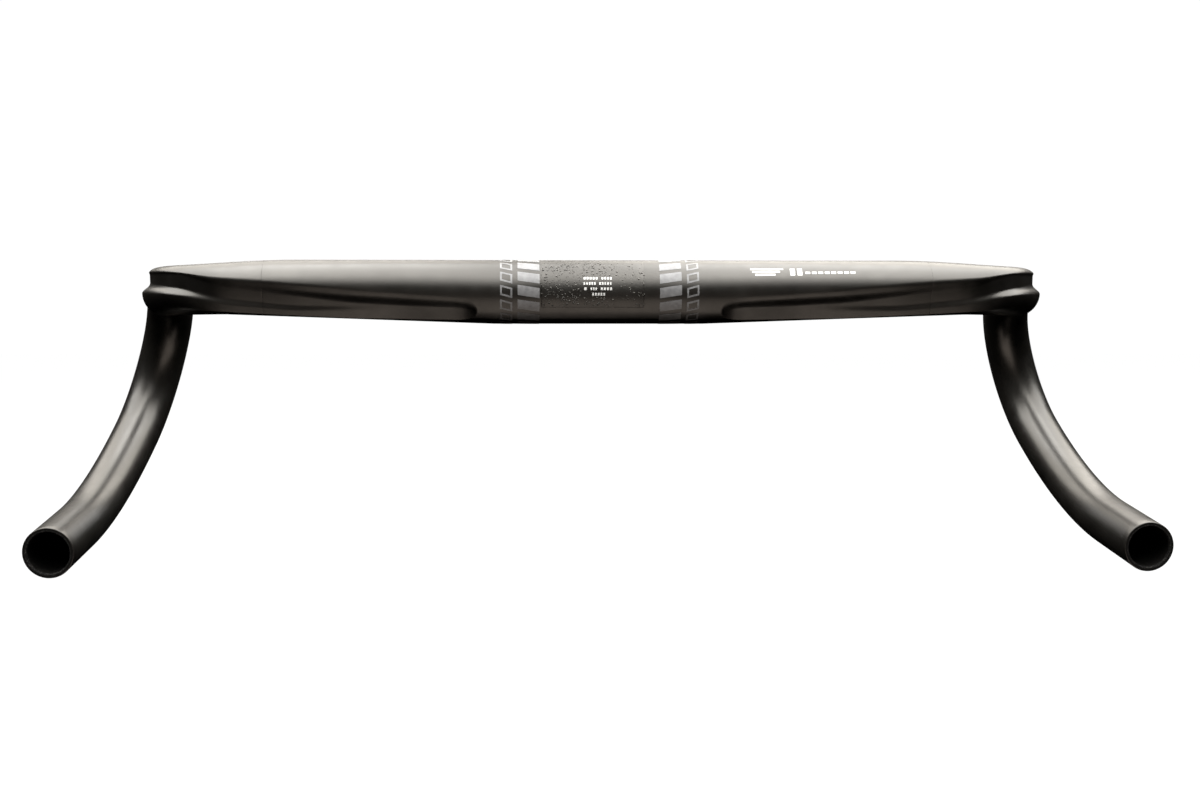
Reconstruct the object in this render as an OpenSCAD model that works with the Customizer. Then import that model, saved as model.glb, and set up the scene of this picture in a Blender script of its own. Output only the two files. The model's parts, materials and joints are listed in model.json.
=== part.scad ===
/* [Overall size] */
// Centre-to-centre width of the two drops where they leave the corners
width_cc = 440; // [420:5:460]
// Reach, from the clamp axis forward to the furthest point of the tube centreline
reach = 80; // [80:1:90]
// Drop, from the clamp axis down to the middle of the open end of the tube
drop = 120; // [116:1:120]
// Outward lean of each drop, in degrees
flare = 16; // [4:0.5:16]

/* [Stem clamp] */
// Diameter of the round clamp barrel
clamp_d = 31.8; // [31.8:0.1:31.9]
// Length of the round clamp barrel
clamp_l = 104; // [96:2:112]
// Wall thickness at the clamp
clamp_wall = 2.5; // [2.4:0.1:3.2]

/* [Tops] */
// Front-to-back depth of the tops where they are widest
tops_depth = 35; // [32:0.5:38]
// How far the underside has risen where the tops meet the corners
tops_rise = 4.6; // [2:0.1:5]
// Depth of the cable channel at its crease where the corner starts; it is shallower along the tops
channel_depth = 2; // [1:0.1:2.6]
// Depth of the cable groove at its crease, around the outside of each corner
groove_depth = 1.4; // [0.8:0.1:1.8]
// Corner radius of the tube centreline, seen from above
corner_r = 36; // [32:1:36]

/* [Drops] */
// Outside diameter of the drop tube
tube_d = 23.8; // [22.2:0.1:24.2]
// Wall thickness of the drop tube
tube_wall = 2; // [1.8:0.1:2.6]
// Length of the straight grip at the end of each drop
grip_l = 50; // [50:1:60]

/* [Bonded joints] */
// Distance from each bonded joint to the start of the corner
joint_back = 19; // [14:1:20]
// Overlap of the inner sleeve on each side of the joint
sleeve_half = 13; // [8:1:13]
// Wall thickness of the inner sleeve
sleeve_wall = 1.6; // [1:0.1:2]
// Thickness of the adhesive around the sleeve
glue = 0.2; // [0.1:0.05:0.3]

/* [Graphics] */
// Thickness of each printed film and of the grip coat
film = 0.04; // [0.03:0.01:0.05]

/* [Hidden] */

clamp_r = clamp_d / 2;
tube_r = tube_d / 2;
clamp_end = clamp_l / 2;
half_cc = width_cc / 2;

// Stations are distances along the tube centreline, measured outward from the middle of the bar:
// the straight top, the corner arc, a short run forward, and then the two bends of the drop.
corner_x = half_cc - corner_r;
corner_l = corner_r * PI / 2;
joint_x = corner_x - joint_back;
// The tops stay inside the clamp diameter as far as widen_u, and have their full depth from full_u.
widen_u = clamp_end + 46;
full_u = corner_x - 34;
fall_l = 86;
// In the corner the channel rises to rise_u and turns into its deep groove at deep_u.
rise_u = corner_x + 14;
deep_u = corner_x + 38;
// Each drop lies in one leaning plane: a tight bend, then a long shallow one that leads to the grip.
// Both radii are scaled together so that the open end lies at the stated drop.
bend_a = [139.5, 33];
bend_shape = [44, 178];
grip_turn = bend_a[0] + bend_a[1];
shape_fall = bend_shape[0] * (1 - cos(bend_a[0])) + bend_shape[1] * (cos(bend_a[0]) - cos(grip_turn));
bend_r = bend_shape * (drop / cos(flare) - grip_l * sin(grip_turn)) / shape_fall;
bend_l = [for (i = [0:1]) bend_r[i] * bend_a[i] * PI / 180];
bend_u = corner_x + corner_l + reach - bend_r[0] - corner_r;
grip_u = bend_u + bend_l[0] + bend_l[1];
groove_end = bend_u + 18;

// A lofted skin runs this far into the exact tube that it joins, from a ring just outside that tube.
lap = 1.5;
bite = 0.25;
// It keeps this far inside the outer face, and the second distance outside the bore.
seam = 0.02;
bore_seam = 0.1;
// The grip starts this far back, so that its end face doesn't coincide with the end of the bend.
lead = 0.1;
side_n = 36;
fine = 128;
carbon = [0.10, 0.095, 0.09];
silver = [0.62, 0.62, 0.63];
white = [0.93, 0.93, 0.92];

function mix(a, b, k) = a + (b - a) * k;
function ease(k) = let (c = min(max(k, 0), 1)) c * c * (3 - 2 * c);
// Value at station u between [station, value] keys.
function track(u, keys, i = 0) =
    u <= keys[i][0] || i == len(keys) - 1 ? keys[i][1] :
    u <= keys[i + 1][0] ?
        mix(keys[i][1], keys[i + 1][1], (u - keys[i][0]) / (keys[i + 1][0] - keys[i][0])) :
    track(u, keys, i + 1);
function power(v, p) = sign(v) * pow(abs(v), p);

// --- Outline of the tube at station u ---------------------------------------------------------
function top_z(u) = mix(clamp_r, tube_r, ease((u - full_u) / fall_l));
function bottom_z(u) = mix(-clamp_r + tops_rise * min(max((u - clamp_end) / (corner_x - clamp_end), 0), 1),
    -tube_r, ease((u - corner_x) / corner_l));
function half_depth(u) = track(u, [[clamp_end, clamp_r], [widen_u, clamp_r - 0.4], [full_u, tops_depth / 2],
    [corner_x, tops_depth / 2], [bend_u, tube_r - 1.7], [groove_end + 8, tube_r]]);
// Squareness of the upper and of the lower half; 2 is an ellipse.
function upper_power(u) = 2 + ease((u - corner_x) / 30) * ease((groove_end - u) / 30);
function lower_power(u) = 2 + ease((u - widen_u) / 30) * ease((rise_u + 10 - u) / 20);
function wall_at(u) = track(u, [[clamp_end, clamp_wall], [corner_x, tube_wall]]);
// Cable channel: a flat floor that leans back under its crease, down to the underside. The crease
// falls to the underside where the channel runs out against the round barrel. Toward the corner a
// lip stands out of the floor low down, and it grows into the ledge that runs round the corner.
function crease_z(u) = track(u, [[clamp_end, -15], [clamp_end + 4, -9], [clamp_end + 9, -4.6],
    [clamp_end + 14, -2.8], [widen_u, -0.4], [full_u, 4.6], [corner_x, 8.4], [rise_u, 9.6],
    [deep_u, 8.4]]);
function crease_soft(u) = track(u, [[clamp_end, 5], [widen_u + 24, 8], [corner_x, 7], [rise_u, 2]]);
function ledge_z(u) = track(u, [[full_u, -10.2], [corner_x, -7], [rise_u, -3], [deep_u, -3.6]]);
function ledge_soft(u) = track(u, [[rise_u, 4], [deep_u, 6.4]]);
function ledge_share(u) = track(u, [[corner_x + 5, 0], [rise_u + 4, 1]]);
function lip(u) =
    track(u, [[widen_u, 0], [widen_u + 24, 1.2], [full_u, 1.5], [corner_x, 1], [rise_u, 0]]);
function floor_depth(u) = track(u, [[clamp_end, channel_depth * 0.3], [full_u, channel_depth / 4],
    [corner_x, channel_depth / 2], [rise_u, channel_depth], [deep_u, groove_depth]]);
function floor_tilt(u) = track(u, [[clamp_end, 0.78], [widen_u, 0.78], [full_u, 0.58], [corner_x, 0.34],
    [rise_u, 0.1], [corner_x + corner_l, 0.36]]);
function fade(u) = ease((groove_end - u) / 22);
// How far the floor lies inside the outline at height h, where the outline has depth d.
function channel(u, h, d, inset) =
    let (above = ease((h - ledge_z(u)) / ledge_soft(u)),
        crown = half_depth(u) - inset - floor_depth(u),
        bed = crown + floor_tilt(u) * (h - crease_z(u)) + lip(u) * (1 - above))
    max(d - bed, 0) * fade(u) * ease((crease_z(u) - h) / crease_soft(u)) * mix(1, above, ledge_share(u));

// One outline point at angle t: [depth forward, height]. inset is the distance inside the surface.
function outline(u, t, inset) =
    let (mid = (top_z(u) + bottom_z(u)) / 2,
        half = (top_z(u) - bottom_z(u)) / 2 - inset,
        deep = half_depth(u) - inset,
        n = sin(t) > 0 ? upper_power(u) : lower_power(u),
        h = mid + half * power(sin(t), 2 / n),
        d = deep * power(cos(t), 2 / n))
    [d + (cos(t) < 0 ? channel(u, h, -d, inset) : 0), h];

// --- Centreline ---------------------------------------------------------------------------------
function rear_dir(u) =
    let (a = min(max((u - corner_x) / corner_r, 0), PI / 2) * 180 / PI)
    [sin(a), -cos(a), 0];
function corner_at(u) =
    u < corner_x ? [u, 0, 0] :
    [corner_x, corner_r, 0] + corner_r * rear_dir(u) + [0, max(u - corner_x - corner_l, 0), 0];
// In the leaning plane of the drop: down and forward, from where the drop starts to bend.
down = [sin(flare), 0, -cos(flare)];
out = [cos(flare), 0, sin(flare)];
forward = [0, 1, 0];
function raised(a) = forward * sin(a) - down * cos(a);
function bend_at(s, i = 0, p = [half_cc, reach - bend_r[0], 0], a = 0) =
    let (turn = min(s / bend_l[i], 1) * bend_a[i],
        q = p + bend_r[i] * (raised(a + turn) - raised(a)))
    s <= bend_l[i] || i == 1 ? [q, a + turn] : bend_at(s - bend_l[i], i + 1, q, a + turn);

// A point of the skin at station u. The outline leans over to the drop's plane along the corner.
function skin_point(u, t, inset) =
    let (o = outline(u, t, inset))
    u < bend_u ?
        let (lean = flare * ease((u - corner_x) / (bend_u - corner_x)), r = rear_dir(u))
        corner_at(u) - o[0] * (r * cos(lean) + [0, 0, sin(lean)])
            + o[1] * ([0, 0, cos(lean)] - r * sin(lean)) :
        let (b = bend_at(u - bend_u)) b[0] - o[0] * out + o[1] * raised(b[1]);
function skin_ring(u, inset) = [for (i = [0:side_n - 1]) skin_point(u, i * 360 / side_n, inset)];

// A hollow skin through rings of equal length, closed at both ends: outer rings, then inner ones.
module hollow_skin(outer, inner) {
    rings = len(outer);
    points = [for (ring = outer) each ring, for (ring = inner) each ring];
    function v(shell, ring, i) = (shell * rings + ring) * side_n + i % side_n;
    sides = [for (k = [0:rings - 2], i = [0:side_n - 1], s = [0, 1]) each
        let (a = v(s, k, i), b = v(s, k, i + 1), c = v(s, k + 1, i + 1), d = v(s, k + 1, i))
        s == 0 ? [[a, c, b], [a, d, c]] : [[a, b, c], [a, c, d]]];
    ends = [for (k = [0, rings - 1], i = [0:side_n - 1]) each
        let (a = v(0, k, i), b = v(0, k, i + 1), c = v(1, k, i + 1), d = v(1, k, i))
        k == 0 ? [[a, b, c], [a, c, d]] : [[a, c, b], [a, d, c]]];
    polyhedron(points, concat(sides, ends));
}
// Skin between stations, from inset deep0(u) on its outside to deep1(u) on its inside.
module skin(stations, deep0, deep1) {
    hollow_skin([for (u = stations) skin_ring(u, deep0(u))], [for (u = stations) skin_ring(u, deep1(u))]);
}

// --- Bonded sections ----------------------------------------------------------------------------
sleeve_in = joint_x - sleeve_half;
sleeve_out = joint_x + sleeve_half;
tops_steps = [3, 6, 9, 12, 16, 22, 34, 46, 58, 70, 84];
tops_stations = [clamp_end - lap, clamp_end + bite, for (d = tops_steps) clamp_end + d, sleeve_in, joint_x];
corner_stations = [joint_x, sleeve_out, for (k = [0:10]) corner_x + corner_l * k / 10];
drop_stations = [bend_u, for (k = [1:3]) bend_u + 6 * k,
    for (k = [1:9]) mix(groove_end, bend_u + bend_l[0], k / 9),
    for (k = [1:6]) bend_u + bend_l[0] + bend_l[1] * k / 7, grip_u - bite, grip_u + lap];
// Distance of the inner face inside the surface; it stays outside the bore where the skin laps a tube.
function inner_at(u) = wall_at(u) - (u < clamp_end + 1 || u > grip_u - 1 ? bore_seam : seam);

module tops_section() color(carbon) {
    rotate([0, 90, 0]) difference() {
        cylinder(r = clamp_r, h = clamp_l, center = true, $fn = fine);
        cylinder(r = clamp_r - clamp_wall, h = clamp_l + 1, center = true, $fn = fine);
    }
    for (side = [0, 1]) mirror([side, 0, 0]) skin(tops_stations, function (u) seam, function (u) inner_at(u));
}
// The grip runs straight on from the last bend, round inside and out, and is cut square.
module grip() {
    end = bend_at(grip_u - bend_u);
    translate(end[0]) rotate([0, -flare, 0]) rotate([-90 - end[1], 0, 0]) difference() {
        translate([0, 0, -lead]) cylinder(r = tube_r, h = grip_l + lead, $fn = fine);
        translate([0, 0, -1]) cylinder(r = tube_r - tube_wall, h = grip_l + 2, $fn = fine);
    }
}

module drop_section(side) color(carbon) mirror([side, 0, 0]) {
    skin(concat(corner_stations, drop_stations), function (u) seam, function (u) inner_at(u));
    grip();
}
module drop_section_left() drop_section(1);
module drop_section_right() drop_section(0);

// The sleeve fills the bore of both sections across the joint, inside a thin layer of adhesive.
sleeve_stations = [sleeve_in, joint_x, sleeve_out];
module joint_sleeve(side) color("dimgray") mirror([side, 0, 0])
    skin(sleeve_stations, function (u) wall_at(u) + glue, function (u) wall_at(u) + glue + sleeve_wall);
module joint_sleeve_left() joint_sleeve(1);
module joint_sleeve_right() joint_sleeve(0);
module joint_adhesive(side) color("goldenrod") mirror([side, 0, 0])
    skin(sleeve_stations, function (u) wall_at(u) - seam, function (u) wall_at(u) + glue);
module joint_adhesive_left() joint_adhesive(1);
module joint_adhesive_right() joint_adhesive(0);

// --- Films on the clamp barrel ------------------------------------------------------------------
// A shell around the barrel from x0 to x1, above the surface by lift.
module barrel_film(x0, x1, lift = 0) translate([x0, 0, 0]) rotate([0, 90, 0]) difference() {
    cylinder(r = clamp_r + lift + film, h = x1 - x0, $fn = fine);
    translate([0, 0, -1]) cylinder(r = clamp_r + lift, h = x1 - x0 + 2, $fn = fine);
}
// The stretch of that shell that faces backward, between two elevations in degrees.
module rear_film(x0, x1, low, high, lift = 0)
    translate([x0, 0, 0]) rotate([-90 - high, 0, 0]) rotate([0, 90, 0])
    rotate_extrude(angle = high - low, $fn = fine) translate([clamp_r + lift, 0]) square([film, x1 - x0]);
// A leaning four-sided block of film, centred at elevation e; inset narrows it on every side.
module block_prism(x0, x1, e, inset) {
    half = block_h / 2 - inset;
    lean = block_lean / 2;
    rotate([-e, 0, 0]) translate([0, -clamp_r / 2, 0]) rotate([90, 0, 0]) linear_extrude(clamp_r)
        polygon([[x0 + inset, -half - lean], [x1 - inset, -half + lean],
            [x1 - inset, half + lean], [x0 + inset, half - lean]]);
}
block_h = 5;
block_lean = 1.6;
block_step = 26;
frame_line = 0.9;
bold_x = [29.6, 40.4];
frame_x = [43, 49];
block_elevations = [for (k = [-3:3]) k * block_step];

grip_coat_x = [-29, 22];
module clamp_grip_coat() color("#2b2927") rear_film(grip_coat_x[0], grip_coat_x[1], -30, 75);

// Two columns of plain blocks around the barrel, solid ones inside and outlined ones outside.
module band_graphic(side) color(silver) mirror([side, 0, 0]) {
    intersection() {
        barrel_film(bold_x[0], bold_x[1]);
        union() for (e = block_elevations) block_prism(bold_x[0], bold_x[1], e, 0);
    }
    intersection() {
        barrel_film(frame_x[0], frame_x[1]);
        union() for (e = block_elevations) difference() {
            block_prism(frame_x[0], frame_x[1], e, 0);
            block_prism(frame_x[0], frame_x[1], e, frame_line);
        }
    }
}
module band_graphic_left() band_graphic(1);
module band_graphic_right() band_graphic(0);

// Rows of small plain blocks printed over the grip coat: [x start, x end] of each group, top row first.
mark_rows = [[[-8, -0.6], [0.8, 6.4]], [[-8, -1.6], [-0.4, 6.2]],
    [[-7.8, -6], [-4.6, -1], [0.4, 6.4]], [[-3.8, 3]]];
mark_top = 24;
mark_step = 9.6;
mark_h = 4.8;
mark_pitch = 1.35;
mark_gap = 0.5;
module size_mark_panel() color(white) for (k = [0:len(mark_rows) - 1], group = mark_rows[k])
    let (n = max(1, round((group[1] - group[0]) / mark_pitch)), e = mark_top - k * mark_step)
    for (i = [0:n - 1]) let (x = mix(group[0], group[1], i / n), w = (group[1] - group[0]) / n - mark_gap)
        rear_film(x, x + w, e - mark_h / 2, e + mark_h / 2, film);

// Plain bars on the upper rear face of the right-hand top, which lie on the lofted skin: a stack of
// three, two upright ones and a row of dashes.
// Each is [distances from the clamp barrel along the tops, outline angles up from the rear].
tops_bars = [[[22.7, 28, 34, 39], [42, 46]], [[23.6, 30, 37.4], [35.5, 39.5]], [[25, 30, 35], [29, 33]],
    [[42.4, 44.8], [29, 37, 45]], [[46, 48.4], [29, 37, 45]],
    for (k = [0:7]) [[50 + 3.2 * k, 52.3 + 3.2 * k], [32, 37]]];
module skin_patch(stations, elevations) {
    rows = len(stations);
    cols = len(elevations);
    points = [for (lift = [film, 0], u = stations, e = elevations) skin_point(u, 180 - e, seam - lift)];
    function v(lift, i, j) = (lift * rows + i) * cols + j;
    faces = [for (i = [0:rows - 2], j = [0:cols - 2]) each [
            [v(0, i, j), v(0, i, j + 1), v(0, i + 1, j + 1), v(0, i + 1, j)],
            [v(1, i, j), v(1, i + 1, j), v(1, i + 1, j + 1), v(1, i, j + 1)]]];
    ends = [for (j = [0:cols - 2]) each [
            [v(0, 0, j), v(1, 0, j), v(1, 0, j + 1), v(0, 0, j + 1)],
            [v(0, rows - 1, j), v(0, rows - 1, j + 1), v(1, rows - 1, j + 1), v(1, rows - 1, j)]]];
    edges = [for (i = [0:rows - 2]) each [
            [v(0, i, 0), v(0, i + 1, 0), v(1, i + 1, 0), v(1, i, 0)],
            [v(0, i, cols - 1), v(1, i, cols - 1), v(1, i + 1, cols - 1), v(0, i + 1, cols - 1)]]];
    polyhedron(points, [for (f = concat(faces, ends, edges)) each [[f[0], f[1], f[2]], [f[0], f[2], f[3]]]]);
}
module tops_mark() color(white) for (bar = tops_bars)
    skin_patch([for (d = bar[0]) clamp_end + d], bar[1]);

tops_section();
drop_section_left();
drop_section_right();
joint_sleeve_left();
joint_sleeve_right();
joint_adhesive_left();
joint_adhesive_right();
clamp_grip_coat();
band_graphic_left();
band_graphic_right();
size_mark_panel();
tops_mark();
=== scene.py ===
"""Drop handlebar: detailed meshes, finishes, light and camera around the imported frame."""
import json
import math
import random

import bpy
from mathutils import Matrix, Vector


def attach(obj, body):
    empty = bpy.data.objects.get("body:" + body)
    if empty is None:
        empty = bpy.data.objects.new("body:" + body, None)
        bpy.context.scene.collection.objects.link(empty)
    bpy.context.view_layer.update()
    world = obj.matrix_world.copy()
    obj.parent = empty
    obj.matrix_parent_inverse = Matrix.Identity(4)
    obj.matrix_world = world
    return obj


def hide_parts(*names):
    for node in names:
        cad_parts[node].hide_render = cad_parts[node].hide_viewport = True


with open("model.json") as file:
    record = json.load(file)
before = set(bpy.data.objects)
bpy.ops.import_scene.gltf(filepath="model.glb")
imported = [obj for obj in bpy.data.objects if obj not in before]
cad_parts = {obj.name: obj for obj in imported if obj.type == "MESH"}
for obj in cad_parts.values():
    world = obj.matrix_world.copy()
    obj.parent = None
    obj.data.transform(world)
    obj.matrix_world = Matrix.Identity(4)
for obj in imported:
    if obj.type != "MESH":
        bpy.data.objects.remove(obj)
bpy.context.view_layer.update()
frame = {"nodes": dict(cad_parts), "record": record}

# ---- Driving dimensions, in millimetres and degrees, as in the CAD source ----------------------
MM = 0.001
MOUNTS = {m["name"]: m for m in frame["record"]["mounts"]}
CLAMP_R = MOUNTS["stem_clamp"]["dims"]["r_mm"]
CLAMP_END = MOUNTS["stem_clamp"]["dims"]["length_mm"] / 2
BORE_R = MOUNTS["bar_end_right"]["dims"]["r_mm"]
HALF_CC = 220
REACH = 80
DROP = 120
FLARE = 16
TUBE_R = 11.9
GRIP_L = 50
CLAMP_WALL = 2.5
TUBE_WALL = TUBE_R - BORE_R
TOPS_DEPTH = 35
TOPS_RISE = 4.6
CHANNEL_DEPTH = 2
GROOVE_DEPTH = 1.4
CORNER_R = 36
JOINT_BACK = 19
# Each drop has two bends: how far each one turns, and their radii before they are scaled to DROP.
BEND_TURN = (139.5, 33)
BEND_SHAPE = (44, 178)
FILM = 0.04


def sind(a):
    return math.sin(math.radians(a))


def cosd(a):
    return math.cos(math.radians(a))


# Stations are distances along the tube centreline, measured outward from the middle of the bar.
CORNER_X = HALF_CC - CORNER_R
CORNER_L = CORNER_R * math.pi / 2
JOINT_X = CORNER_X - JOINT_BACK
GRIP_TURN = sum(BEND_TURN)
SHAPE_FALL = (BEND_SHAPE[0] * (1 - cosd(BEND_TURN[0]))
              + BEND_SHAPE[1] * (cosd(BEND_TURN[0]) - cosd(GRIP_TURN)))
BEND_K = (DROP / cosd(FLARE) - GRIP_L * sind(GRIP_TURN)) / SHAPE_FALL
BEND_R = [r * BEND_K for r in BEND_SHAPE]
BEND_L = [r * math.radians(a) for r, a in zip(BEND_R, BEND_TURN)]
BEND_U = CORNER_X + CORNER_L + REACH - BEND_R[0] - CORNER_R
GRIP_U = BEND_U + sum(BEND_L)
END_U = GRIP_U + GRIP_L
GROOVE_END = BEND_U + 18
WIDEN_U, FULL_U = CLAMP_END + 46, CORNER_X - 34
RISE_U, DEEP_U = CORNER_X + 14, CORNER_X + 38
# Lengths over which the top comes down, the outline changes its squareness and the groove fades.
TOP_FALL_L = 86
SQUARE_L = 30
LOWER_END, LOWER_FADE_L = RISE_U + 10, 20
GROOVE_FADE_L = 22


# ---- Outline of the tube -----------------------------------------------------------------------
def mix(a, b, k):
    return a + (b - a) * k


def clamp01(k):
    return min(max(k, 0), 1)


def ease(k):
    c = clamp01(k)
    return c * c * (3 - 2 * c)


def keyed(u, keys):
    """Value at u on the straight lines between (station, value) keys."""
    if u <= keys[0][0]:
        return keys[0][1]
    for (u0, v0), (u1, v1) in zip(keys, keys[1:]):
        if u <= u1:
            return mix(v0, v1, (u - u0) / (u1 - u0))
    return keys[-1][1]


SPREAD = 6


def track(u, keys):
    """The same value, averaged over SPREAD millimetres each way so that its slope never jumps."""
    near = (keyed(u + k, keys) for k in range(-SPREAD, SPREAD + 1))
    return sum(near) / (2 * SPREAD + 1)


def signed_power(v, p):
    return math.copysign(abs(v) ** p, v)


def top_z(u):
    return mix(CLAMP_R, TUBE_R, ease((u - FULL_U) / TOP_FALL_L))


def bottom_z(u):
    rise = TOPS_RISE * clamp01((u - CLAMP_END) / (CORNER_X - CLAMP_END))
    return mix(-CLAMP_R + rise, -TUBE_R, ease((u - CORNER_X) / CORNER_L))


# Values along the bar, as (station, value). A cable channel is cut into the rear. CREASE_Z is the
# height of its upper edge, and below LEDGE_Z a ledge is left under the corner's groove, as fully as
# LEDGE_SHARE says. The _SOFT values are the heights over which those two edges round off.
# FLOOR_TILT leans the floor inward on its way down to the underside, and LIP raises its low part.
HALF_DEPTH = [(CLAMP_END, CLAMP_R), (WIDEN_U, CLAMP_R - 0.4), (FULL_U, TOPS_DEPTH / 2),
              (CORNER_X, TOPS_DEPTH / 2), (BEND_U, TUBE_R - 1.7), (GROOVE_END + 8, TUBE_R)]
WALL = [(CLAMP_END, CLAMP_WALL), (CORNER_X, TUBE_WALL)]
CREASE_Z = [(CLAMP_END, -15), (CLAMP_END + 4, -9), (CLAMP_END + 9, -4.6), (CLAMP_END + 14, -2.8),
            (WIDEN_U, -0.4), (FULL_U, 4.6), (CORNER_X, 8.4), (RISE_U, 9.6), (DEEP_U, 8.4)]
CREASE_SOFT = [(CLAMP_END, 5), (WIDEN_U + 24, 8), (CORNER_X, 7), (RISE_U, 2)]
LEDGE_Z = [(FULL_U, -10.2), (CORNER_X, -7), (RISE_U, -3), (DEEP_U, -3.6)]
LEDGE_SOFT = [(RISE_U, 4), (DEEP_U, 6.4)]
LEDGE_SHARE = [(CORNER_X + 5, 0), (RISE_U + 4, 1)]
LIP = [(WIDEN_U, 0), (WIDEN_U + 24, 1.2), (FULL_U, 1.5), (CORNER_X, 1), (RISE_U, 0)]
FLOOR_DEPTH = [(CLAMP_END, CHANNEL_DEPTH * 0.3), (FULL_U, CHANNEL_DEPTH / 4),
               (CORNER_X, CHANNEL_DEPTH / 2), (RISE_U, CHANNEL_DEPTH), (DEEP_U, GROOVE_DEPTH)]
FLOOR_TILT = [(CLAMP_END, 0.78), (WIDEN_U, 0.78), (FULL_U, 0.58), (CORNER_X, 0.34), (RISE_U, 0.1),
              (CORNER_X + CORNER_L, 0.36)]

FORWARD = Vector((0, 1, 0))
DOWN = Vector((sind(FLARE), 0, -cosd(FLARE)))
OUT = Vector((cosd(FLARE), 0, sind(FLARE)))
# The skin keeps this far inside the true surface, so that it stays within the faceted CAD model.
SKIN = 0.06


def raised(a):
    return FORWARD * sind(a) - DOWN * cosd(a)


def frame_at(u):
    """(centre, direction of depth, direction of height) of the outline at station u."""
    if u < BEND_U:
        a = min(max((u - CORNER_X) / CORNER_R, 0), math.pi / 2)
        rear = Vector((math.sin(a), -math.cos(a), 0))
        lean = FLARE * ease((u - CORNER_X) / (BEND_U - CORNER_X))
        centre = Vector((u, 0, 0))
        if u > CORNER_X:
            past_corner = max(u - CORNER_X - CORNER_L, 0)
            centre = CORNER_R * rear + Vector((CORNER_X, CORNER_R + past_corner, 0))
        sideways = rear * cosd(lean) + Vector((0, 0, sind(lean)))
        return centre, -sideways, Vector((0, 0, cosd(lean))) - rear * sind(lean)
    centre, a, s = Vector((HALF_CC, REACH - BEND_R[0], 0)), 0, u - BEND_U
    for r, length, turn in zip(BEND_R, BEND_L, BEND_TURN):
        bend = min(s / length, 1) * turn
        centre = centre + r * (raised(a + bend) - raised(a))
        a, s = a + bend, max(s - length, 0)
    return centre + (FORWARD * cosd(a) + DOWN * sind(a)) * s, -OUT, raised(a)


class Station:
    """The outline at one distance along the bar.

    Its upper and lower halves are ellipses at power 2 and grow squarer towards power 3.
    """

    def __init__(self, u):
        self.top, self.bottom = top_z(u), bottom_z(u)
        self.depth = track(u, HALF_DEPTH)
        self.power = 2 + ease((u - CORNER_X) / SQUARE_L) * ease((GROOVE_END - u) / SQUARE_L)
        self.lower_power = 2 + ease((u - WIDEN_U) / SQUARE_L) * ease((LOWER_END - u) / LOWER_FADE_L)
        self.lip = track(u, LIP)
        self.crease, self.crease_soft = track(u, CREASE_Z), track(u, CREASE_SOFT)
        self.ledge, self.ledge_soft = track(u, LEDGE_Z), track(u, LEDGE_SOFT)
        self.ledge_share = track(u, LEDGE_SHARE)
        self.floor, self.tilt = track(u, FLOOR_DEPTH), track(u, FLOOR_TILT)
        self.fade = ease((GROOVE_END - u) / GROOVE_FADE_L)
        self.centre, self.ahead, self.up = frame_at(u)

    def cut(self, h, d, inset):
        """How far the channel's floor lies inside the outline, whose depth is d at height h."""
        above = ease((h - self.ledge) / self.ledge_soft)
        bed = self.depth - inset - self.floor + self.tilt * (h - self.crease) + self.lip * (1 - above)
        ledge = mix(1, above, self.ledge_share)
        return max(d - bed, 0) * self.fade * ease((self.crease - h) / self.crease_soft) * ledge

    def point(self, t, inset=0.0):
        """Point at angle t round the outline and inset inside its surface, in millimetres."""
        n = self.power if sind(t) > 0 else self.lower_power
        half = (self.top - self.bottom) / 2 - inset
        h = (self.top + self.bottom) / 2 + half * signed_power(sind(t), 2 / n)
        d = (self.depth - inset) * signed_power(cosd(t), 2 / n)
        if cosd(t) < 0:
            d += self.cut(h, -d, inset)
        return self.centre + d * self.ahead + h * self.up


# Outline angles: close together on the rear, where the channel is, and wider apart on the front.
REAR_STEP, FRONT_STEP = 0.75, 2.5
ANGLES = ([90 + REAR_STEP * k for k in range(round(180 / REAR_STEP))]
          + [270 + FRONT_STEP * k for k in range(round(180 / FRONT_STEP))])


def ring(u, inset=SKIN, shift=0.0, jitter=0.0):
    """One ring of points; shift moves it along the bar, jitter makes its radius uneven."""
    s = Station(u)
    along = s.ahead.cross(s.up) * shift
    return [s.point(t, inset + jitter * random.uniform(-1, 1)) + along for t in ANGLES]


def spaced(a, b, step):
    """Stations from a to b, a included and b not, about step apart."""
    n = max(1, round(abs(b - a) / step))
    return [mix(a, b, k / n) for k in range(n)]


# ---- Mesh building -----------------------------------------------------------------------------
def make_mesh(name, points, faces, materials, face_materials=None, mirrored=False):
    """Mesh object from points in millimetres. mirrored builds it on the other side of the bar."""
    if mirrored:
        points = [(-p[0], p[1], p[2]) for p in points]
        faces = [tuple(reversed(f)) for f in faces]
    mesh = bpy.data.meshes.new(name)
    mesh.from_pydata([(p[0] * MM, p[1] * MM, p[2] * MM) for p in points], [], faces)
    for m in materials:
        mesh.materials.append(m)
    if face_materials:
        mesh.polygons.foreach_set("material_index", face_materials)
    mesh.polygons.foreach_set("use_smooth", [True] * len(faces))
    mesh.update()
    piece = bpy.data.objects.new(name, mesh)
    bpy.context.scene.collection.objects.link(piece)
    return piece


def loop_mesh(name, rings, materials, kinds, mirrored=False):
    """Closed hollow body through rings: out along the surface, back along the bore.

    kinds holds, for each ring, the material index of the faces that start there.
    """
    n, count = len(rings[0]), len(rings)
    points = [p for r in rings for p in r]
    faces, face_materials = [], []
    for k in range(count):
        a, b = k * n, (k + 1) % count * n
        for i in range(n):
            j = (i + 1) % n
            faces.append((a + i, a + j, b + j, b + i))
            face_materials.append(kinds[k])
    return make_mesh(name, points, faces, materials, face_materials, mirrored)


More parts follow.
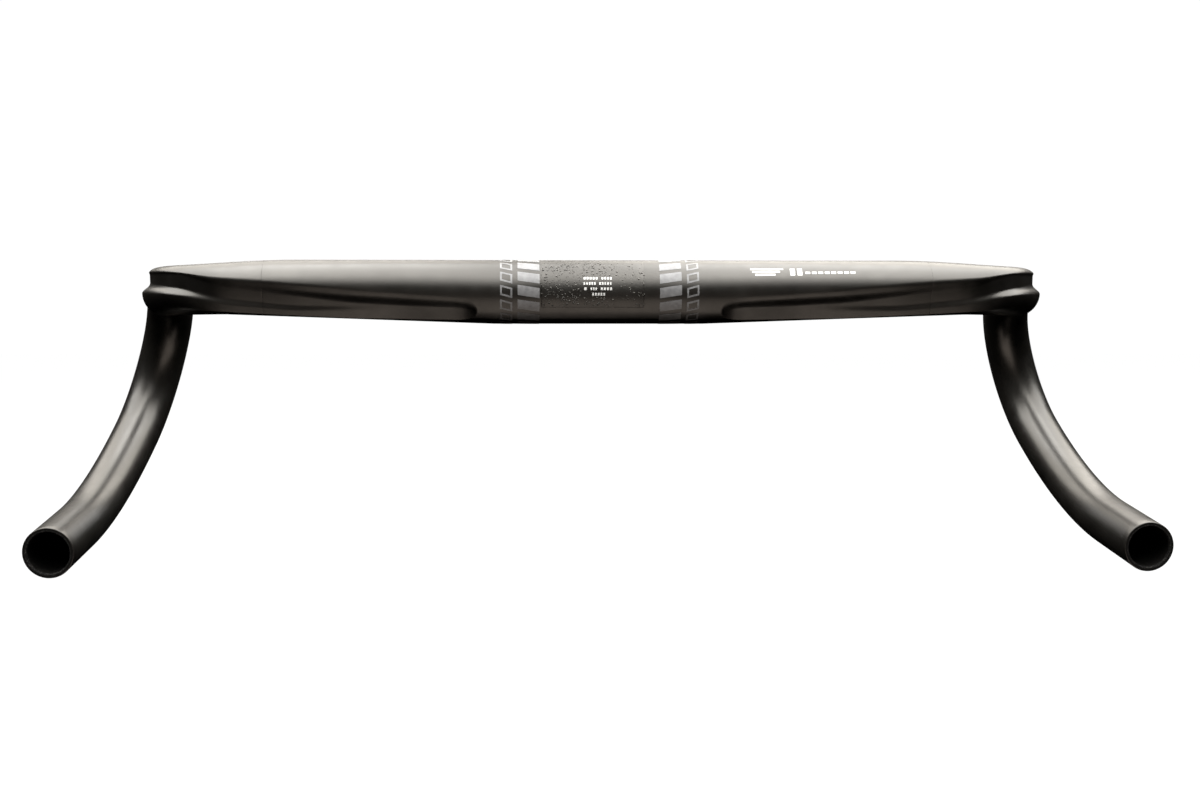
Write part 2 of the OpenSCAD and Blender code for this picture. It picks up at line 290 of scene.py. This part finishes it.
def film_mesh(points, rows, cols, lift_point):
    """(points, faces) of one thin closed patch: a grid of outer points over a grid of inner ones.

    lift_point(p, k) places grid point p on the outer side where k is 1 and the inner where it is 0.
    """
    outer = [lift_point(p, 1) for p in points]
    inner = [lift_point(p, 0) for p in points]
    faces = []
    size = rows * cols
    for i in range(rows - 1):
        for j in range(cols - 1):
            a = i * cols + j
            faces.append((a, a + 1, a + cols + 1, a + cols))
            faces.append((size + a, size + a + cols, size + a + cols + 1, size + a + 1))
    border = (list(range(cols)) + [i * cols + cols - 1 for i in range(1, rows)]
              + [(rows - 1) * cols + j for j in range(cols - 2, -1, -1)]
              + [i * cols for i in range(rows - 2, 0, -1)])
    for a, b in zip(border, border[1:] + border[:1]):
        faces.append((a, size + a, size + b, b))
    return outer + inner, faces


def joined(name, parts, material, mirrored=False):
    """One flat-shaded object from several (points, faces) patches."""
    points, faces = [], []
    for p, f in parts:
        base = len(points)
        points += p
        faces += [tuple(base + v for v in face) for face in f]
    piece = make_mesh(name, points, faces, [material], None, mirrored)
    piece.data.polygons.foreach_set("use_smooth", [False] * len(faces))
    return piece


# ---- Materials ---------------------------------------------------------------------------------
class Nodes:
    """A node material with a few short calls for the nodes used here."""

    def __init__(self, name):
        self.material = bpy.data.materials.new(name)
        self.material.use_nodes = True
        self.tree = self.material.node_tree
        self.shader = self.tree.nodes["Principled BSDF"]
        self.where = self.add("ShaderNodeTexCoord").outputs["Object"]

    def add(self, kind):
        return self.tree.nodes.new(kind)

    def link(self, out, into):
        self.tree.links.new(out, into)

    def set(self, socket, value):
        """Give one of the shader's own sockets a constant."""
        self.shader.inputs[socket].default_value = value

    def feed(self, socket, out):
        """Link an output into one of the shader's own sockets."""
        self.link(out, self.shader.inputs[socket])

    def mapped(self, scale):
        node = self.add("ShaderNodeMapping")
        node.inputs["Scale"].default_value = scale
        self.link(self.where, node.inputs["Vector"])
        return node.outputs["Vector"]

    def noise(self, scale, detail=2.0, vector=None):
        node = self.add("ShaderNodeTexNoise")
        node.inputs["Scale"].default_value = scale
        node.inputs["Detail"].default_value = detail
        self.link(vector or self.where, node.inputs["Vector"])
        return node.outputs["Fac"]

    def ramp(self, fac, *stops):
        """Colours or greys at positions along fac, as (position, value)."""
        node = self.add("ShaderNodeValToRGB")
        while len(node.color_ramp.elements) < len(stops):
            node.color_ramp.elements.new(0.5)
        for element, (at, value) in zip(node.color_ramp.elements, stops):
            element.position = at
            colour = value if isinstance(value, tuple) else (value, value, value)
            element.color = (*colour, 1)
        self.link(fac, node.inputs["Fac"])
        return node.outputs["Color"]

    def bump(self, height, strength, distance, under=None):
        node = self.add("ShaderNodeBump")
        node.inputs["Strength"].default_value = strength
        node.inputs["Distance"].default_value = distance
        self.link(height, node.inputs["Height"])
        if under:
            self.link(under, node.inputs["Normal"])
        return node.outputs["Normal"]


def satin_carbon(name, low, high, rough_low, rough_high, grain=0.25, level=0.5):
    """Warm black satin lacquer over carbon: faint mottle, uneven gloss and a fine orange peel."""
    m = Nodes(name)
    m.feed("Base Color", m.ramp(m.noise(38, 4), (0.3, low), (0.7, high)))
    m.feed("Roughness", m.ramp(m.noise(160, 3), (0.25, rough_low), (0.75, rough_high)))
    peel = m.bump(m.noise(900, 2), grain, 0.00004)
    m.feed("Normal", m.bump(m.noise(5200, 2), grain, 0.000012, peel))
    m.set("IOR", 1.52)
    m.set("Specular IOR Level", level)
    m.set("Specular Tint", (1.0, 0.965, 0.91, 1))
    return m.material


def printed(name, low, high, rough):
    """Satin ink with slightly uneven cover."""
    m = Nodes(name)
    m.feed("Base Color", m.ramp(m.noise(420, 4), (0.35, low), (0.65, high)))
    m.feed("Roughness", m.ramp(m.noise(900, 2), (0.3, rough - 0.06), (0.7, rough + 0.06)))
    m.feed("Normal", m.bump(m.noise(2600, 2), 0.2, 0.00002))
    return m.material


def cut_carbon():
    """Sawn laminate at the open ends: nearly black and rough, with grey-brown specks."""
    m = Nodes("cut_laminate")
    specks = m.ramp(m.noise(1400, 5), (0.4, (0.002, 0.002, 0.002)), (0.58, (0.008, 0.0075, 0.007)),
                    (0.76, (0.07, 0.066, 0.06)))
    m.feed("Base Color", specks)
    m.feed("Roughness", m.ramp(m.noise(1100, 3), (0.3, 0.55), (0.7, 0.85)))
    m.feed("Normal", m.bump(m.noise(1700, 4), 0.8, 0.00025))
    m.set("Specular IOR Level", 0.15)
    return m.material


def bonded(name, low, high, rough):
    """Hidden bonding parts: fibre grain along the bar under a dull resin surface."""
    m = Nodes(name)
    grain = m.noise(260, 4, m.mapped((0.15, 1, 1)))
    m.feed("Base Color", m.ramp(grain, (0.35, low), (0.65, high)))
    m.feed("Roughness", m.ramp(m.noise(500, 2), (0.3, rough - 0.08), (0.7, rough + 0.08)))
    m.feed("Normal", m.bump(grain, 0.3, 0.00006))
    return m.material


LACQUER_LOW, LACQUER_HIGH = (0.002, 0.0017, 0.0014), (0.006, 0.0053, 0.0046)
CARBON = satin_carbon("carbon_satin", LACQUER_LOW, LACQUER_HIGH, 0.30, 0.38)
BORE = satin_carbon("carbon_bore", (0.001, 0.001, 0.001), (0.003, 0.0028, 0.0026), 0.7, 0.9,
                    level=0.12)
COAT = satin_carbon("carbon_grip_coat", LACQUER_LOW, LACQUER_HIGH, 0.30, 0.40, grain=0.5)
GRIT = satin_carbon("grip_coat_grit", (0.002, 0.0018, 0.0015), (0.05, 0.047, 0.042), 0.1, 0.22,
                    grain=0.2)
CUT = cut_carbon()
SILVER = printed("ink_silver", (0.10, 0.10, 0.102), (0.14, 0.14, 0.143), 0.42)
WHITE = printed("ink_white", (0.42, 0.42, 0.41), (0.55, 0.55, 0.54), 0.5)
SLEEVE = bonded("laminate_bare", (0.02, 0.02, 0.02), (0.07, 0.068, 0.065), 0.5)
ADHESIVE = bonded("adhesive_cured", (0.36, 0.28, 0.14), (0.5, 0.4, 0.22), 0.4)


# ---- Tube sections -----------------------------------------------------------------------------
def hold(piece, slot, *nodes):
    """The piece rides on the bar and stands for these CAD nodes, which it hides. slot is not used."""
    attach(piece, "root")
    if nodes:
        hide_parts(*nodes)


SEAM_GAP = 0.02
SEAM_CLEAR = 0.8
# Rings that round an outer edge off, as (distance back from the end, extra inset).
SEAM_ROUND = ((0.3, 0), (0.05, SEAM_GAP / 4), (0.01, SEAM_GAP))
END_ROUND = ((0.45, 0), (0.22, 0.05), (0.06, 0.2), (0.01, 0.42))


def joint_edge(outward):
    """Rings that round the outer edge where two sections meet, in order outward along the bar.

    outward is 1 for the tops, which end at the joint, and -1 for a drop, which starts there.
    """
    rings = [ring(JOINT_X - outward * back, SKIN + inset) for back, inset in SEAM_ROUND]
    return rings if outward > 0 else rings[::-1]


def side_rings(stations, inset_at):
    return [ring(u, inset_at(u)) for u in stations]


def wall_inset(u):
    return track(u, WALL)


def flipped(rings):
    """The same rings on the other side of the bar, in the opposite order."""
    return [[Vector((-p.x, p.y, p.z)) for p in r] for r in reversed(rings)]


def tops_shell():
    outer_stations = (spaced(0, CLAMP_END - 1, 4) + spaced(CLAMP_END - 1, CLAMP_END + 20, 0.4)
                      + spaced(CLAMP_END + 20, JOINT_X - SEAM_CLEAR, 2))
    outer = side_rings(outer_stations, lambda u: SKIN) + joint_edge(1)
    inner = side_rings(spaced(0, JOINT_X, 6) + [JOINT_X], wall_inset)
    out = flipped(outer)[:-1] + outer
    back = flipped(inner)[:-1] + inner
    kinds = [0] * len(out) + [1] * len(back)
    return loop_mesh("tops_shell", out + back[::-1], [CARBON, BORE], kinds)


# The ragged inner rim, as (distance back from the end, inset past the wall, shift, jitter).
RIM = ((0.02, -0.14, -0.03, 0.09), (0.3, 0, 0, 0.1), (0.9, 0.05, 0, 0.08), (1.8, 0, 0, 0.04))


def end_rings():
    """The sawn end of the grip: a rounded lacquer edge, the nearly flat cut and its inner rim."""
    edge = [ring(END_U - back, SKIN + inset) for back, inset in END_ROUND]
    cut = [ring(END_U - 0.01, TUBE_WALL * k, -0.02, 0.02) for k in (0.35, 0.5, 0.65, 0.8)]
    rim = [ring(END_U - back, TUBE_WALL + past, shift, jitter) for back, past, shift, jitter in RIM]
    return edge, cut, rim


def drop_shell(name, mirrored):
    random.seed(12 if mirrored else 11)
    second_bend = BEND_U + BEND_L[0]
    outer_stations = (spaced(JOINT_X + SEAM_CLEAR, CORNER_X, 2) + spaced(CORNER_X, BEND_U, 0.9)
                      + spaced(BEND_U, GROOVE_END + 10, 1) + spaced(GROOVE_END + 10, second_bend, 1.8)
                      + spaced(second_bend, GRIP_U, 3) + spaced(GRIP_U, END_U - 1, 5))
    outer = joint_edge(-1) + side_rings(outer_stations, lambda u: SKIN)
    edge, cut, rim = end_rings()
    inner = side_rings(spaced(END_U - 3, JOINT_X, 4) + [JOINT_X], wall_inset)
    rings = outer + edge + cut + rim + inner
    kinds = ([0] * (len(outer) + len(edge) - 1) + [1] * (len(cut) - 1) + [2] * (len(rim) + 1)
             + [1] * (len(inner) + 1))
    return loop_mesh(name, rings, [CARBON, BORE, CUT], kinds, mirrored)


hold(tops_shell(), "carbon", "tops_section")
hold(drop_shell("drop_shell_left", True), "carbon", "drop_section_left")
hold(drop_shell("drop_shell_right", False), "carbon", "drop_section_right")

for side in ("left", "right"):
    for node, finish in (("joint_sleeve_", SLEEVE), ("joint_adhesive_", ADHESIVE)):
        cad = frame["nodes"][node + side]
        cad.data.materials.clear()
        cad.data.materials.append(finish)


# ---- Coat and printed films on the clamp barrel ------------------------------------------------
def barrel_point(x, elevation, radius):
    """Point on the barrel; elevation 0 faces the rider and 90 faces up."""
    return Vector((x, -radius * cosd(elevation), radius * sind(elevation)))


def on_barrel(base):
    return lambda p, k: barrel_point(p[0], p[1], base + FILM * k)


def barrel_patch(corners, rows, cols, base=CLAMP_R):
    """Thin film between four (x, elevation) corners: low start, low end, high end, high start."""
    a, b, c, d = corners
    grid = []
    for i in range(rows):
        for j in range(cols):
            s, t = i / (rows - 1), j / (cols - 1)
            x = mix(mix(a[0], b[0], s), mix(d[0], c[0], s), t)
            e = mix(mix(a[1], b[1], s), mix(d[1], c[1], s), t)
            grid.append((x, e))
    return film_mesh(grid, rows, cols, on_barrel(base))


# Where the coat lies, in millimetres along the bar and degrees of elevation, and how far its edge
# wanders. Its thickness eases in over FEATHER_STEPS grid steps, starting EDGE_SHARE of the way.
COAT_X = (-29, 22)
COAT_E = (-30, 75)
COAT_ROWS, COAT_COLS = 103, 64
WANDER_X, WANDER_E = 0.4, 1.3
EDGE_SHARE = 0.06
FEATHER_STEPS = 8


def coat_point(p, k):
    """Point of the coat; p is (x, elevation, share of the full thickness)."""
    return barrel_point(p[0], p[1], CLAMP_R - SKIN * (1 - p[2]) + FILM * k * p[2])


def grip_coat():
    """The anti-slip coat: a film whose edge wanders and thins out, as sprayed lacquer does."""
    random.seed(3)
    rows, cols = COAT_ROWS, COAT_COLS
    grid = []
    for i in range(rows):
        for j in range(cols):
            x, e = mix(*COAT_X, i / (rows - 1)), mix(*COAT_E, j / (cols - 1))
            if i in (0, rows - 1):
                x += (1 if i == 0 else -1) * random.uniform(0, WANDER_X)
            if j in (0, cols - 1):
                e += (1 if j == 0 else -1) * random.uniform(0, WANDER_E)
            from_edge = min(i, rows - 1 - i, j, cols - 1 - j)
            grid.append((x, e, ease(EDGE_SHARE + from_edge / FEATHER_STEPS)))
    piece = joined("clamp_coat_film", [film_mesh(grid, rows, cols, coat_point)], COAT)
    skin_faces = 2 * (rows - 1) * (cols - 1)
    for face in piece.data.polygons[:skin_faces]:
        face.use_smooth = True
    return piece


GRAIN_SIDES = 8
# Levels of a grain from its foot up, as (share of its size across, share of its size upward).
GRAIN_LEVELS = ((1.15, 0), (0.8, 0.4), (0.4, 0.62))
GRAIN_TOP = 0.7
GRAIN_FOOT = CLAMP_R + FILM * 0.5
GRAIN_COUNT = 560
GRAIN_SIZES = (0.14, 0.2, 0.28, 0.38)
# To the right of SPARSE_X only a share of the grains is kept, and over the white panel none.
GRIT_E = (-26, 62)
SPARSE_X, SPARSE_SHARE = 3, 0.3
CLEAR_X, CLEAR_E = (-9, 7.4), (-9.5, 28.5)


def grit_grain(x, e, size):
    """One grain of grit under lacquer: a low, uneven dome."""
    n = GRAIN_SIDES
    turn = random.uniform(0, 45)
    stretch = random.uniform(0.7, 1.3)
    points = []
    for share, lift in GRAIN_LEVELS:
        for k in range(n):
            a = 360 / n * k + turn
            r = size * share * random.uniform(0.88, 1.1)
            up = e + math.degrees(r * sind(a) / CLAMP_R)
            points.append(barrel_point(x + r * stretch * cosd(a), up, GRAIN_FOOT + size * lift))
    points.append(barrel_point(x, e, GRAIN_FOOT + size * GRAIN_TOP))
    faces = [tuple(reversed(range(n)))]
    for low in (0, n):
        for k in range(n):
            j = (k + 1) % n
            faces.append((low + k, low + j, low + n + j, low + n + k))
    faces += [(2 * n + k, 2 * n + (k + 1) % n, 3 * n) for k in range(n)]
    return points, faces


def grit():
    """Scattered grains that leave the white panel clear, and are fewer towards the right."""
    random.seed(5)
    parts = []
    while len(parts) < GRAIN_COUNT:
        x, e = random.uniform(*COAT_X), random.uniform(*GRIT_E)
        keep = 1 if x < SPARSE_X else SPARSE_SHARE
        on_panel = CLEAR_X[0] < x < CLEAR_X[1] and CLEAR_E[0] < e < CLEAR_E[1]
        if random.random() < keep and not on_panel:
            size = random.choice(GRAIN_SIZES) * random.uniform(0.8, 1.2)
            parts.append(grit_grain(x, e, size))
    piece = joined("clamp_coat_grit", parts, GRIT)
    piece.data.polygons.foreach_set("use_smooth", [True] * len(piece.data.polygons))
    return piece


hold(grip_coat(), "grip_coat", "clamp_grip_coat")
hold(grit(), "grip_coat")

# The two bands of blocks, in millimetres, with BLOCK_STEP in degrees round the barrel.
BLOCK_H = 5
BLOCK_LEAN = 1.6
BLOCK_STEP = 26
FRAME_LINE = 0.9
BOLD_X = (29.6, 40.4)
FRAME_X = (43, 49)


def arc(v):
    """Elevation of a point v millimetres up from the middle of a block, seen straight on."""
    return math.degrees(math.asin(v / CLAMP_R))


def leaning(x0, x1, low, high, inset):
    """Corners of a block whose long edges rise by BLOCK_LEAN from its inner end to its outer one."""
    corners = []
    for x, v in ((x0 + inset, low), (x1 - inset, low), (x1 - inset, high), (x0 + inset, high)):
        k = (x - x0) / (x1 - x0)
        corners.append((x, v + BLOCK_LEAN * (k - 0.5)))
    return corners


def strip(corners, elevation, rows=13, cols=9):
    return barrel_patch([(x, elevation + arc(v)) for x, v in corners], rows, cols)


def band_marks(name, mirrored):
    """Two columns of plain blocks round the barrel: the inner one solid, the outer one outlined."""
    half, line = BLOCK_H / 2, FRAME_LINE
    parts = []
    for k in range(-3, 4):
        e = k * BLOCK_STEP
        parts.append(strip(leaning(*BOLD_X, -half, half, 0), e))
        whole = leaning(*FRAME_X, -half, half, 0)
        hole = leaning(*FRAME_X, -half + line, half - line, line)
        for i in range(4):
            j = (i + 1) % 4
            parts.append(strip([whole[i], whole[j], hole[j], hole[i]], e, 7, 3))
    return joined(name, parts, SILVER, mirrored)


hold(band_marks("band_marks_left", True), "silver_ink", "band_graphic_left")
hold(band_marks("band_marks_right", False), "silver_ink", "band_graphic_right")

# Rows of the white panel from the top down, each with its stretches of blocks as (start, end).
MARK_ROWS = [[(-8, -0.6), (0.8, 6.4)], [(-8, -1.6), (-0.4, 6.2)],
             [(-7.8, -6), (-4.6, -1), (0.4, 6.4)], [(-3.8, 3)]]
# The first three are in degrees round the barrel, the last two in millimetres along it.
MARK_TOP = 24
MARK_STEP = 9.6
MARK_H = 4.8
MARK_PITCH = 1.35
MARK_GAP = 0.5


def size_marks():
    """Four rows of small plain blocks over the coat, where a bar carries its printed sizes."""
    parts = []
    for k, row in enumerate(MARK_ROWS):
        low = MARK_TOP - k * MARK_STEP - MARK_H / 2
        high = low + MARK_H
        for start, end in row:
            n = max(1, round((end - start) / MARK_PITCH))
            for x0 in spaced(start, end, MARK_PITCH):
                x1 = x0 + (end - start) / n - MARK_GAP
                corners = [(x0, low), (x1, low), (x1, high), (x0, high)]
                parts.append(barrel_patch(corners, 4, 4, CLAMP_R + FILM))
    return joined("size_marks", parts, WHITE)


hold(size_marks(), "white_ink", "size_mark_panel")

# Bars as ((start, end) outward from the end of the barrel, (low, high) outline angle above the rear).
TOPS_BARS = ([((22.7, 39), (42, 46)), ((23.6, 37.4), (35.5, 39.5)), ((25, 35), (29, 33)),
              ((42.4, 44.8), (29, 45)), ((46, 48.4), (29, 45))]
             + [((50 + 3.2 * k, 52.3 + 3.2 * k), (32, 37)) for k in range(8)])


def on_tops(p, k):
    """Point of a film on the tops; p is (station, outline angle above the rear)."""
    return Station(p[0]).point(180 - p[1], SKIN - FILM * k)


def tops_marks():
    """Plain bars on the upper rear face of the right-hand top."""
    parts = []
    for (d0, d1), (e0, e1) in TOPS_BARS:
        rows, cols = max(3, round((d1 - d0) / 1.5)), 9
        grid = [(CLAMP_END + mix(d0, d1, i / (rows - 1)), mix(e0, e1, j / (cols - 1)))
                for i in range(rows) for j in range(cols)]
        parts.append(film_mesh(grid, rows, cols, on_tops))
    return joined("tops_marks", parts, WHITE)


hold(tops_marks(), "white_ink", "tops_mark")


# ---- Floor, light and camera -------------------------------------------------------------------
# From here on, lengths are in metres unless their names say otherwise.
FLOOR_Z = -0.135
FLOOR_SIZE = 12
FLOOR_GLOW = 1.0
WORLD_GLOW = 1.02


def studio_floor():
    """A pale floor that is bright by its own glow, so that shadows on it stay faint.

    It is left out of the object's reflections and bounce light, as black flags do in a studio.
    """
    m = Nodes("studio_paper")
    m.feed("Base Color", m.ramp(m.noise(3, 2), (0.3, 0.018), (0.7, 0.022)))
    m.set("Roughness", 0.95)
    m.set("IOR", 1.0)
    m.set("Emission Color", (1, 1, 1, 1))
    m.set("Emission Strength", FLOOR_GLOW)
    half = FLOOR_SIZE / 2
    mesh = bpy.data.meshes.new("studio_floor")
    mesh.from_pydata([(-half, -half, 0), (half, -half, 0), (half, half, 0), (-half, half, 0)],
                     [], [(0, 1, 2, 3)])
    mesh.materials.append(m.material)
    floor = bpy.data.objects.new("studio_floor", mesh)
    floor.location = (0, 0, FLOOR_Z)
    floor.visible_glossy = False
    floor.visible_diffuse = False
    bpy.context.scene.collection.objects.link(floor)


def softbox(name, centre, size, turn, radiance, colour):
    """A flat panel. Turned by 0 degrees it shines down, by 90 forward and by 180 up."""
    light = bpy.data.lights.new(name, "AREA")
    light.shape = "RECTANGLE"
    light.size, light.size_y = size
    light.energy = radiance * math.pi * size[0] * size[1]
    light.color = colour
    lamp = bpy.data.objects.new(name, light)
    lamp.location = centre
    lamp.rotation_euler = (math.radians(turn), 0, 0)
    lamp.visible_camera = False
    bpy.context.scene.collection.objects.link(lamp)


WARM = (1, 0.88, 0.79)
PAPER = (1, 0.99, 0.965)
CREAM = (1, 0.95, 0.87)
OVERHEAD = 0.95
# Name, centre, size, turn in degrees, radiance and colour. The dark line between the streaks on the
# drops is the reflection of the gap between the left and right rows.
PANELS = (("near_left", (-0.24, -0.15, OVERHEAD), (0.36, 1.3), 0, 13, PAPER),
          ("near_right", (0.24, -0.15, OVERHEAD), (0.36, 1.3), 0, 12.5, PAPER),
          ("far_left", (-1.21, -0.15, OVERHEAD), (1.58, 1.3), 0, 8, PAPER),
          ("far_right", (1.21, -0.15, OVERHEAD), (1.58, 1.3), 0, 8, PAPER),
          ("rear_left", (-0.68, 1.1, OVERHEAD), (1.24, 1.2), 0, 4.7, CREAM),
          ("rear_right", (0.68, 1.1, OVERHEAD), (1.24, 1.2), 0, 6.2, CREAM),
          ("front_near", (0, -1.08, OVERHEAD), (1.1, 0.56), 0, 6.5, PAPER),
          ("front_far", (0, -1.82, OVERHEAD), (1.2, 0.92), 0, 2.6, PAPER),
          ("behind_object", (0, 2.5, 0.55), (1.24, 0.7), -90, 2.5, PAPER),
          ("behind_camera", (0, -2.3, -0.4), (1.0, 1.3), 90, 0.25, WARM),
          ("below_front", (0.06, -1.08, -0.95), (0.66, 1.96), 180, 1.65, WARM),
          ("below_middle", (0, 0.1, -0.95), (0.2, 0.4), 180, 0.8, WARM))

studio_floor()
for panel in PANELS:
    softbox(*panel)

world = bpy.data.worlds.new("studio")
world.use_nodes = True
backdrop = world.node_tree.nodes["Background"]
backdrop.inputs["Color"].default_value = (1, 1, 1, 1)
backdrop.inputs["Strength"].default_value = WORLD_GLOW
world.cycles_visibility.diffuse = False
world.cycles_visibility.glossy = False
bpy.context.scene.world = world

CAMERA_AT = (-0.04724, -0.950, -0.01413)
# Yaw, pitch and roll from level, then the quarter turn that makes a camera look forward.
CAMERA_TURNS = ((-2.896, "Z"), (-2.398, "X"), (-0.013, "Y"), (90, "X"))
CAMERA_LENS_MM = 57.08
CAMERA_SENSOR_MM = 36

camera = bpy.data.objects.new("camera", bpy.data.cameras.new("camera"))
camera.data.lens = CAMERA_LENS_MM
camera.data.sensor_width = CAMERA_SENSOR_MM
aim = Matrix.Identity(4)
for degrees, axis in CAMERA_TURNS:
    aim = aim @ Matrix.Rotation(math.radians(degrees), 4, axis)
camera.matrix_world = Matrix.Translation(CAMERA_AT) @ aim
bpy.context.scene.collection.objects.link(camera)
bpy.context.scene.camera = camera
bpy.context.scene.view_settings.view_transform = "Standard"
